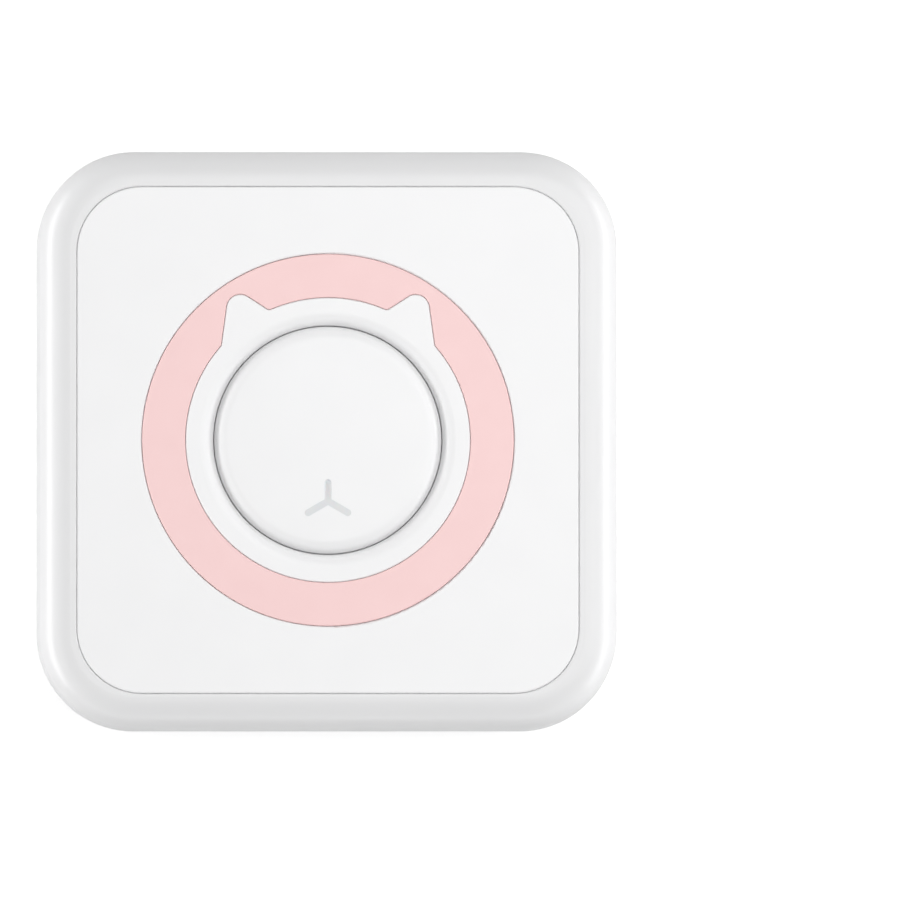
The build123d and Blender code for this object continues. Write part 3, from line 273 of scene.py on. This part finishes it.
def surface(tree, colour, roughness, normal, **sockets):
    """Principled shader joined to the output; other sockets are given by their names."""
    shader = tree.nodes.new("ShaderNodeBsdfPrincipled")
    output = tree.nodes["Material Output"]
    tree.links.new(shader.outputs["BSDF"], output.inputs["Surface"])
    tree.links.new(colour, shader.inputs["Base Color"])
    tree.links.new(roughness, shader.inputs["Roughness"])
    tree.links.new(normal, shader.inputs["Normal"])
    for name, value in sockets.items():
        shader.inputs[name.replace("_", " ").title()].default_value = value
    return shader


def moulded(name, colour, roughness, pores=2600, depth=0.000004, cloud=45, **sockets):
    """Moulded plastic: faint clouding, uneven gloss and a fine skin."""
    material, tree = new_tree(name)
    skin = grain(tree, pores, detail=2)
    paint = blended(tree, between(tree, grain(tree, cloud, detail=4), 0, 1), tint(colour, -0.005),
                    tint(colour, 0.005))
    gloss = between(tree, grain(tree, cloud * 6, detail=5), roughness * 0.88, roughness * 1.12)
    surface(tree, paint, gloss, raised(tree, skin, depth), **sockets)
    return material


def rolled_metal(name, colour, roughness, along=(1, 30, 30), depth=0.000003):
    """Metal with fine drawing lines along X and slight stains."""
    material, tree = new_tree(name)
    lines = grain(tree, 420, detail=4, stretch=along)
    stain = grain(tree, 160, detail=5)
    paint = blended(tree, between(tree, lines, 0, 1), tint(colour, -0.10), tint(colour, 0.08))
    gloss = between(tree, stain, roughness * 0.8, roughness * 1.25)
    surface(tree, paint, gloss, raised(tree, lines, depth), metallic=1.0)
    return material


def circuit_board(name, colour):
    """Solder mask over copper tracks, with bare pads."""
    material, tree = new_tree(name)
    cells = tree.nodes.new("ShaderNodeTexVoronoi")
    cells.distance = "MANHATTAN"
    cells.inputs["Scale"].default_value = PAD_SCALE
    tree.links.new(place_in_metres(tree), cells.inputs["Vector"])
    tracks = tree.nodes.new("ShaderNodeTexWave")
    tracks.wave_type = "BANDS"
    tracks.bands_direction = "DIAGONAL"
    tracks.inputs["Scale"].default_value = TRACK_SCALE
    tracks.inputs["Distortion"].default_value = 7
    tracks.inputs["Detail"].default_value = 0
    tree.links.new(place_in_metres(tree), tracks.inputs["Vector"])
    copper = between(tree, tracks.outputs["Fac"], 0, 1, 0.55, 0.65)
    mask = blended(tree, copper, tint(colour, -0.25), tint(colour, 0.45))
    pad = between(tree, cells.outputs["Distance"], 1, 0, 0.10, 0.14)
    paint = blended(tree, pad, mask, (0.72, 0.60, 0.34, 1))
    gloss = between(tree, grain(tree, 300), 0.28, 0.42)
    surface(tree, paint, gloss, raised(tree, copper, 0.00002))
    return material


def dress(material, *nodes):
    """Give CAD nodes their finish."""
    for node in nodes:
        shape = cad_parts[node]
        shape.data.materials.clear()
        shape.data.materials.append(material)


def add_piece(name, mesh, material, body):
    """New mesh piece that rides on a CAD body."""
    mesh.materials.append(material)
    piece = bpy.data.objects.new(name, mesh)
    bpy.context.scene.collection.objects.link(piece)
    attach(piece, body)
    return piece


# Pieces

class PRINTER_OT_shell(bpy.types.Operator):
    """Glossy white cover and back in a darker white that paints the rim's shade, white panel, ear plate and
    button, pink ring and grey mark
    """
    bl_idname = "printer.shell"
    bl_label = "Outer mouldings"

    def execute(self, context):
        look = context.scene.printer_shell
        smooth = {"pores": 700, "depth": 0.0000008}
        # The cover and back take a darker white than the panel: painted shade on the rim, not a different
        # plastic
        white = moulded("shaded_shell_white", look.shaded_shell_white, look.gloss, **smooth)
        dress(white, "cover_shell", "base_shell")
        dress(moulded("panel_white", look.panel_white, look.gloss, cloud=25, **smooth), "face_panel",
              "ear_plate", "button")
        dress(moulded("ring_pink", look.ring_pink, look.gloss * 1.3, cloud=60, **smooth), "ring_inlay")
        dress(moulded("mark_grey", look.mark_grey, 0.38, cloud=300, subsurface_weight=0.2,
                      subsurface_scale=0.0008), "light_mark")
        return {"FINISHED"}


class PRINTER_OT_inner_mouldings(bpy.types.Operator):
    """Matte chassis and liner, gears, switch plunger and sockets"""
    bl_idname = "printer.inner_mouldings"
    bl_label = "Inner mouldings"

    def execute(self, context):
        look = context.scene.printer_inside
        dress(moulded("inner_white", look.inner_white, 0.5, pores=1500, depth=0.00001), "chassis",
              "cover_liner")
        dress(moulded("gear_natural", (0.82, 0.80, 0.72), 0.42, pores=1800), "platen_gear", "idler_gear",
              "motor_pinion")
        dress(moulded("plug_nylon", (0.80, 0.78, 0.70), 0.45, pores=1800), "flex_socket", "lead_plug",
              "switch_plunger", "indicator_lamp")
        dress(moulded("chip_black", (0.022, 0.022, 0.024), 0.5, pores=3500, depth=0.000008), "board_chips",
              "tact_switch", "usb_tongue", "paper_sensor", "reset_switch", "contact_block")
        dress(moulded("rubber_black", (0.028, 0.028, 0.03), 0.72, pores=3000, depth=0.000018),
              "platen_rubber")
        dress(moulded("core_dark", (0.05, 0.05, 0.055), 0.55, pores=900, depth=0.00001), "roll_core")
        return {"FINISHED"}


class PRINTER_OT_metalwork(bpy.types.Operator):
    """Steel frame, pins and screws, motor can, heat sink, brass bushes and contacts"""
    bl_idname = "printer.metalwork"
    bl_label = "Metalwork"

    def execute(self, context):
        dress(rolled_metal("steel_sheet", (0.60, 0.60, 0.61), 0.35), "hinge_pin", "tear_bar", "print_frame",
              "head_pivot", "leaf_spring", "motor_shaft", "idler_pin", "platen_shaft", "usb_socket")
        dress(rolled_metal("screw_zinc", (0.52, 0.53, 0.55), 0.36, along=(8, 8, 30)), "case_screws",
              "frame_screws", "motor_screws", "board_screws", "liner_screws")
        dress(rolled_metal("motor_can", (0.56, 0.56, 0.58), 0.35, along=(30, 6, 6)), "stepper_motor")
        dress(rolled_metal("aluminium_bare", (0.76, 0.77, 0.79), 0.36), "heat_sink", "radio_module")
        dress(rolled_metal("brass_plain", (0.78, 0.60, 0.30), 0.35, along=(30, 6, 6)), "platen_bushes",
              "contact_pins")
        return {"FINISHED"}


class PRINTER_OT_print_head(bpy.types.Operator):
    """Glazed ceramic heater with its dark heater line"""
    bl_idname = "printer.print_head"
    bl_label = "Print head"

    def execute(self, context):
        material, tree = new_tree("heater_glaze")
        separate = tree.nodes.new("ShaderNodeSeparateXYZ")
        tree.links.new(place_in_metres(tree), separate.inputs["Vector"])
        offset = maths(tree, "SUBTRACT", separate.outputs["Y"], PLATEN_MIDDLE.y)
        distance = maths(tree, "ABSOLUTE", offset)
        line = between(tree, distance, 1, 0, HEATER_LINE_DARK, HEATER_LINE_END)
        cloud = blended(tree, between(tree, grain(tree, 200), 0, 1), (0.74, 0.70, 0.60, 1),
                        (0.80, 0.77, 0.68, 1))
        paint = blended(tree, line, cloud, (0.10, 0.05, 0.03, 1))
        surface(tree, paint, between(tree, grain(tree, 500), 0.14, 0.24), raised(tree, line, 0.00004))
        dress(material, "heater_bar")
        return {"FINISHED"}


class PRINTER_OT_boards(bpy.types.Operator):
    """Circuit boards, flat cables and the small parts soldered to the main board"""
    bl_idname = "printer.boards"
    bl_label = "Circuit boards"

    def execute(self, context):
        look = context.scene.printer_inside
        dress(circuit_board("board_mask", look.board_green), "main_board", "button_board", "contact_board")
        film, tree = new_tree("flex_film")
        tracks = tree.nodes.new("ShaderNodeTexWave")
        tracks.bands_direction = "X"
        tracks.inputs["Scale"].default_value = FLEX_TRACK_SCALE
        tree.links.new(place_in_metres(tree), tracks.inputs["Vector"])
        lines = between(tree, tracks.outputs["Fac"], 0, 1, 0.45, 0.55)
        paint = blended(tree, lines, (0.62, 0.34, 0.10, 1), (0.50, 0.24, 0.06, 1))
        surface(tree, paint, between(tree, grain(tree, 400), 0.28, 0.38), raised(tree, lines, 0.00002))
        dress(film, "head_flex", "button_flex")
        self.solder_small_parts(look.capacitor_count)
        return {"FINISHED"}

    def solder_small_parts(self, count):
        """Small ceramic parts with tinned ends, scattered clear of the larger ones."""
        board_low, board_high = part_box("main_board")
        keep_clear = [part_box(node) for node in ("radio_module", "flex_socket", "contact_block", "usb_socket",
                                                "lead_plug", "board_screws", "head_flex")]
        keep_clear += [(Vector(low), Vector(high)) for low, high in chip_boxes()]
        draw = random.Random(PART_SEED)
        body, ends = bmesh.new(), bmesh.new()
        placed = []
        while len(placed) < count:
            turned = draw.random() < 0.5
            half = PART_HALF[::-1] if turned else PART_HALF
            x = draw.uniform(board_low.x + BOARD_EDGE, board_high.x - BOARD_EDGE)
            y = draw.uniform(board_low.y + BOARD_EDGE, board_high.y - BOARD_EDGE)
            blocked = any(low.x - PART_MARGIN < x < high.x + PART_MARGIN
                          and low.y - PART_MARGIN < y < high.y + PART_MARGIN for low, high in keep_clear)
            blocked = blocked or any(math.hypot(x - a, y - b) < PART_SPACING for a, b in placed)
            blocked = blocked or x + y > board_high.x + board_high.y - BOARD_CORNER
            if blocked:
                continue
            placed.append((x, y))
            size = Matrix.Diagonal((2 * half[0] * (1.0 if turned else BODY_SHARE),
                                    2 * half[1] * (BODY_SHARE if turned else 1.0), PART_HEIGHT, 1))
            spot = Matrix.Translation((x, y, board_high.z + PART_HEIGHT / 2 - PART_SINK))
            bmesh.ops.create_cube(body, size=1, matrix=spot @ size)
            for side in (-1, 1):
                shift = (0, side * half[1] * END_MIDDLE, 0) if turned else (side * half[0] * END_MIDDLE, 0, 0)
                end_size = Matrix.Diagonal((2 * half[0] * (END_WIDTH if turned else END_SHARE),
                                            2 * half[1] * (END_SHARE if turned else END_WIDTH),
                                            PART_HEIGHT * END_HEIGHT, 1))
                bmesh.ops.create_cube(ends, size=1, matrix=Matrix.Translation(shift) @ spot @ end_size)
        tan = moulded("capacitor_tan", (0.42, 0.28, 0.16), 0.4, pores=4000)
        tin = rolled_metal("tin_ends", (0.74, 0.74, 0.75), 0.35)
        for name, shape, material, slot in (("capacitor_bodies", body, tan, "chip_black"),
                                            ("capacitor_ends", ends, tin, "screw_steel")):
            mesh = bpy.data.meshes.new(name)
            shape.to_mesh(mesh)
            shape.free()
            add_piece(name, mesh, material, "base")


def chip_boxes():
    """Boxes of the separate chips in the node that holds them all."""
    points = [vertex.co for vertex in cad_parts["board_chips"].data.vertices]
    chips = []
    for point in points:
        for chip in chips:
            if abs(point.x - chip[0].x) < CHIP_REACH and abs(point.y - chip[0].y) < CHIP_REACH:
                chip.append(point)
                break
        else:
            chips.append([point])
    return [((min(p.x for p in chip), min(p.y for p in chip), 0),
             (max(p.x for p in chip), max(p.y for p in chip), 0)) for chip in chips]


class PRINTER_OT_battery(bpy.types.Operator):
    """Foil-wrapped battery pack and its two insulated leads"""
    bl_idname = "printer.battery"
    bl_label = "Battery"

    def execute(self, context):
        foil, tree = new_tree("battery_foil")
        creases = grain(tree, 260, detail=6, roughness=0.65)
        paint = blended(tree, between(tree, creases, 0, 1), (0.50, 0.52, 0.55, 1), (0.62, 0.64, 0.67, 1))
        gloss = between(tree, creases, 0.28, 0.45)
        surface(tree, paint, gloss, raised(tree, creases, 0.00012), metallic=0.85)
        dress(foil, "battery")
        dress(moulded("lead_red", (0.55, 0.025, 0.02), 0.35, pores=1200), "battery_lead_positive")
        dress(moulded("lead_black", (0.02, 0.02, 0.022), 0.35, pores=1200), "battery_lead_negative")
        return {"FINISHED"}


class PRINTER_OT_paper(bpy.types.Operator):
    """Wound paper with its layers, and the sheet that runs from the roll to the slot"""
    bl_idname = "printer.paper"
    bl_label = "Paper"

    def execute(self, context):
        look = context.scene.printer_inside
        plain = self.paper_finish("paper_plain", look.paper_white)
        dress(self.wound_finish("paper_wound", look.paper_white, look.paper_layer), "paper_roll")
        self.feed_sheet(plain)
        return {"FINISHED"}

    def paper_finish(self, name, colour):
        """Smooth paper with short fibres."""
        material, tree = new_tree(name)
        fibres = grain(tree, 1500, detail=6, roughness=0.7, stretch=(1, 0.4, 1))
        paint = blended(tree, between(tree, fibres, 0, 1), tint(colour, -0.03), tint(colour, 0.02))
        surface(tree, paint, between(tree, fibres, 0.52, 0.66), raised(tree, fibres, 0.000008))
        return material

    def wound_finish(self, name, colour, layer):
        """Paper whose ends show rings of layers round the roll's axis."""
        material, tree = new_tree(name)
        separate = tree.nodes.new("ShaderNodeSeparateXYZ")
        tree.links.new(place_in_metres(tree), separate.inputs["Vector"])
        squares = [maths(tree, "POWER", maths(tree, "SUBTRACT", separate.outputs[axis], middle), 2.0)
                   for axis, middle in (("Y", ROLL_MIDDLE.y), ("Z", ROLL_MIDDLE.z))]
        radius = maths(tree, "SQRT", maths(tree, "ADD", *squares))
        wave = maths(tree, "PINGPONG", maths(tree, "DIVIDE", radius, layer), 0.5)
        rings = between(tree, wave, 0, 1, 0.05, 0.45)
        fibres = grain(tree, 1200, detail=5)
        paint = blended(tree, rings, tint(colour, -0.16), tint(colour, 0.0))
        surface(tree, paint, between(tree, fibres, 0.55, 0.7), raised(tree, rings, 0.00003))
        return material

    def feed_sheet(self, material):
        """Sheet on a smooth line over the deck's lip, through the nip and out over the tear bar."""
        low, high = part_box("paper_web")
        deck_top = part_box("chassis")[1].z
        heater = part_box("heater_bar")[1].z
        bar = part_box("tear_bar")
        over = deck_top + PAPER_LIFT
        nip = heater + PAPER_LIFT
        middle = PLATEN_MIDDLE.y
        start_y = low.y + 0.0001
        route = [(start_y, low.z), (start_y + 0.00003, low.z + 0.0012), (start_y + 0.00035, over - 0.0006),
                 (start_y + 0.0016, over), (start_y + 0.006, over), (middle - 0.008, over - 0.0001),
                 (middle - NIP_HALF, nip), (middle, nip), (middle + NIP_HALF, nip),
                 (bar[0].y, bar[1].z + 0.00045), (high.y, bar[1].z + 0.0003)]
        line = smooth_line(route, ROUTE_STEPS)
        half = (high.x - low.x) / 2
        points, faces = [], []
        for y, z in line:
            points += [(-half, y, z), (half, y, z)]
        for step in range(len(line) - 1):
            faces.append((2 * step, 2 * step + 1, 2 * step + 3, 2 * step + 2))
        mesh = bpy.data.meshes.new("paper_sheet")
        mesh.from_pydata(points, [], faces)
        mesh.update()
        sheet = add_piece("paper_sheet", mesh, material, "base")
        for face in sheet.data.polygons:
            face.use_smooth = True
        thick = sheet.modifiers.new("paper_thickness", "SOLIDIFY")
        thick.thickness = PAPER_THICKNESS
        thick.offset = 0
        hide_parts("paper_web")


def smooth_line(route, steps):
    """Points of a smooth curve through the route's points."""
    line = []
    padded = [route[0]] + list(route) + [route[-1]]
    for before, start, end, after in zip(padded, padded[1:], padded[2:], padded[3:]):
        for step in range(steps):
            t = step / steps
            weights = ((-t + 2 * t ** 2 - t ** 3) / 2, (2 - 5 * t ** 2 + 3 * t ** 3) / 2,
                       (t + 4 * t ** 2 - 3 * t ** 3) / 2, (t ** 3 - t ** 2) / 2)
            line.append(tuple(sum(w * p[axis] for w, p in zip(weights, (before, start, end, after)))
                              for axis in (0, 1)))
    line.append(tuple(route[-1]))
    return line


class PRINTER_OT_stage(bpy.types.Operator):
    """White floor, soft lamps and the camera above the face"""
    bl_idname = "printer.stage"
    bl_label = "Stage"

    def execute(self, context):
        look = context.scene.printer_stage
        self.floor()
        self.room(context.scene, look.sky)
        self.lamp("left_lamp", (-LOW_LAMP_AWAY, 0.0, LOW_LAMP_HEIGHT), LOW_LAMP_SIZE, look.left_power)
        self.lamp("right_lamp", (LOW_LAMP_AWAY, 0.0, LOW_LAMP_HEIGHT), LOW_LAMP_SIZE, look.right_power)
        self.lamp("near_lamp", (0.0, -LOW_LAMP_AWAY, LOW_LAMP_HEIGHT), LOW_LAMP_SIZE[::-1], look.near_power)
        self.lamp("top_lamp", TOP_LAMP_PLACE, (TOP_LAMP_SIDE, TOP_LAMP_SIDE), look.top_power)
        self.camera(context.scene, look)
        return {"FINISHED"}

    def floor(self):
        """Large white floor that keeps a faint shadow and turns pure white further away."""
        material, tree = new_tree("floor_white")
        output = tree.nodes["Material Output"]
        paper = tree.nodes.new("ShaderNodeBsdfDiffuse")
        paper.inputs["Color"].default_value = FLOOR_WHITE
        glow = tree.nodes.new("ShaderNodeEmission")
        away = tree.nodes.new("ShaderNodeVectorMath")
        away.operation = "LENGTH"
        tree.links.new(place_in_metres(tree), away.inputs[0])
        strength = between(tree, away.outputs["Value"], GLOW_NEAR, GLOW_FAR, GLOW_STARTS, GLOW_ENDS)
        tree.links.new(strength, glow.inputs["Strength"])
        lifted = tree.nodes.new("ShaderNodeAddShader")
        seen = tree.nodes.new("ShaderNodeMixShader")
        rays = tree.nodes.new("ShaderNodeLightPath")
        tree.links.new(paper.outputs["BSDF"], lifted.inputs[0])
        tree.links.new(glow.outputs["Emission"], lifted.inputs[1])
        tree.links.new(rays.outputs["Is Camera Ray"], seen.inputs[0])
        tree.links.new(paper.outputs["BSDF"], seen.inputs[1])
        tree.links.new(lifted.outputs["Shader"], seen.inputs[2])
        tree.links.new(seen.outputs["Shader"], output.inputs["Surface"])
        corners = [(x * FLOOR_REACH, y * FLOOR_REACH, 0) for x, y in ((-1, -1), (1, -1), (1, 1), (-1, 1))]
        mesh = bpy.data.meshes.new("floor")
        mesh.from_pydata(corners, [], [(0, 1, 2, 3)])
        mesh.materials.append(material)
        floor = bpy.data.objects.new("floor", mesh)
        bpy.context.scene.collection.objects.link(floor)

    def room(self, scene, brightness):
        """Even light from all round, white to the camera."""
        world = bpy.data.worlds.new("room")
        world.use_nodes = True
        tree = world.node_tree
        tree.nodes.clear()
        output = tree.nodes.new("ShaderNodeOutputWorld")
        light = tree.nodes.new("ShaderNodeBackground")
        light.inputs["Color"].default_value = (1, 1, 1, 1)
        light.inputs["Strength"].default_value = brightness
        seen = tree.nodes.new("ShaderNodeBackground")
        seen.inputs["Strength"].default_value = 1.0
        mix = tree.nodes.new("ShaderNodeMixShader")
        tree.links.new(self.seen_or_mirrored(tree), mix.inputs[0])
        tree.links.new(light.outputs["Background"], mix.inputs[1])
        tree.links.new(seen.outputs["Background"], mix.inputs[2])
        tree.links.new(mix.outputs["Shader"], output.inputs["Surface"])
        scene.world = world

    def seen_or_mirrored(self, tree):
        """1 for camera rays and glossy rays, and 0 for the other rays that light the printer."""
        rays = tree.nodes.new("ShaderNodeLightPath")
        return maths(tree, "MAXIMUM", rays.outputs["Is Camera Ray"], rays.outputs["Is Glossy Ray"])

    def lamp(self, name, place, size, power):
        """Soft rectangular lamp aimed at the printer."""
        data = bpy.data.lights.new(name, "AREA")
        data.shape = "RECTANGLE"
        data.size, data.size_y = size
        data.energy = power
        lamp = bpy.data.objects.new(name, data)
        lamp.location = place
        aim = Vector((0, 0, FACE_TOP / 2)) - Vector(place)
        lamp.rotation_euler = facing(aim).to_euler()
        lamp.visible_camera = False
        bpy.context.scene.collection.objects.link(lamp)

    def camera(self, scene, look):
        """Long lens above the face, leaning a little to the left and near side."""
        data = bpy.data.cameras.new("camera")
        data.sensor_width = SENSOR_WIDTH
        data.lens = data.sensor_width * look.camera_distance / look.frame_width
        data.clip_end = VIEW_REACH
        data.shift_x, data.shift_y = FRAME_SHIFT
        lean = Vector((-math.tan(look.tilt_left), -math.tan(look.tilt_near), 1)).normalized()
        camera = bpy.data.objects.new("camera", data)
        target = Vector((0, 0, FACE_TOP))
        place = Matrix.Translation(target + lean * look.camera_distance)
        camera.matrix_world = place @ facing(-lean).to_4x4()
        scene.collection.objects.link(camera)
        scene.camera = camera
        scene.view_settings.view_transform = "Standard"


def facing(aim):
    """Rotation of a camera or lamp that looks along the aim, with its top towards +Y."""
    back = -aim.normalized()
    right = Vector((0, 1, 0)).cross(back).normalized()
    return Matrix((right, back.cross(right), back)).transposed()


OPERATORS = (PRINTER_OT_shell, PRINTER_OT_inner_mouldings, PRINTER_OT_metalwork, PRINTER_OT_print_head,
             PRINTER_OT_boards, PRINTER_OT_battery, PRINTER_OT_paper, PRINTER_OT_stage)


class PRINTER_PT_panel(bpy.types.Panel):
    """Sidebar panel with the printer's settings and steps"""
    bl_idname = "PRINTER_PT_panel"
    bl_label = "Portable label printer"
    bl_space_type = "VIEW_3D"
    bl_region_type = "UI"
    bl_category = "Printer"

    def draw(self, context):
        for group in (context.scene.printer_shell, context.scene.printer_inside, context.scene.printer_stage):
            box = self.layout.box()
            for name in group.__annotations__:
                box.prop(group, name)
        for operator in OPERATORS:
            self.layout.operator(operator.bl_idname)


CLASSES = (ShellSettings, InsideSettings, StageSettings) + OPERATORS + (PRINTER_PT_panel,)


def register():
    for item in CLASSES:
        bpy.utils.register_class(item)
    bpy.types.Scene.printer_shell = bpy.props.PointerProperty(type=ShellSettings)
    bpy.types.Scene.printer_inside = bpy.props.PointerProperty(type=InsideSettings)
    bpy.types.Scene.printer_stage = bpy.props.PointerProperty(type=StageSettings)


def unregister():
    del bpy.types.Scene.printer_shell
    del bpy.types.Scene.printer_inside
    del bpy.types.Scene.printer_stage
    for item in reversed(CLASSES):
        bpy.utils.unregister_class(item)


def main():
    register()
    bpy.ops.printer.shell()
    bpy.ops.printer.inner_mouldings()
    bpy.ops.printer.metalwork()
    bpy.ops.printer.print_head()
    bpy.ops.printer.boards()
    bpy.ops.printer.battery()
    bpy.ops.printer.paper()
    bpy.ops.printer.stage()


if __name__ == "__main__":
    main()
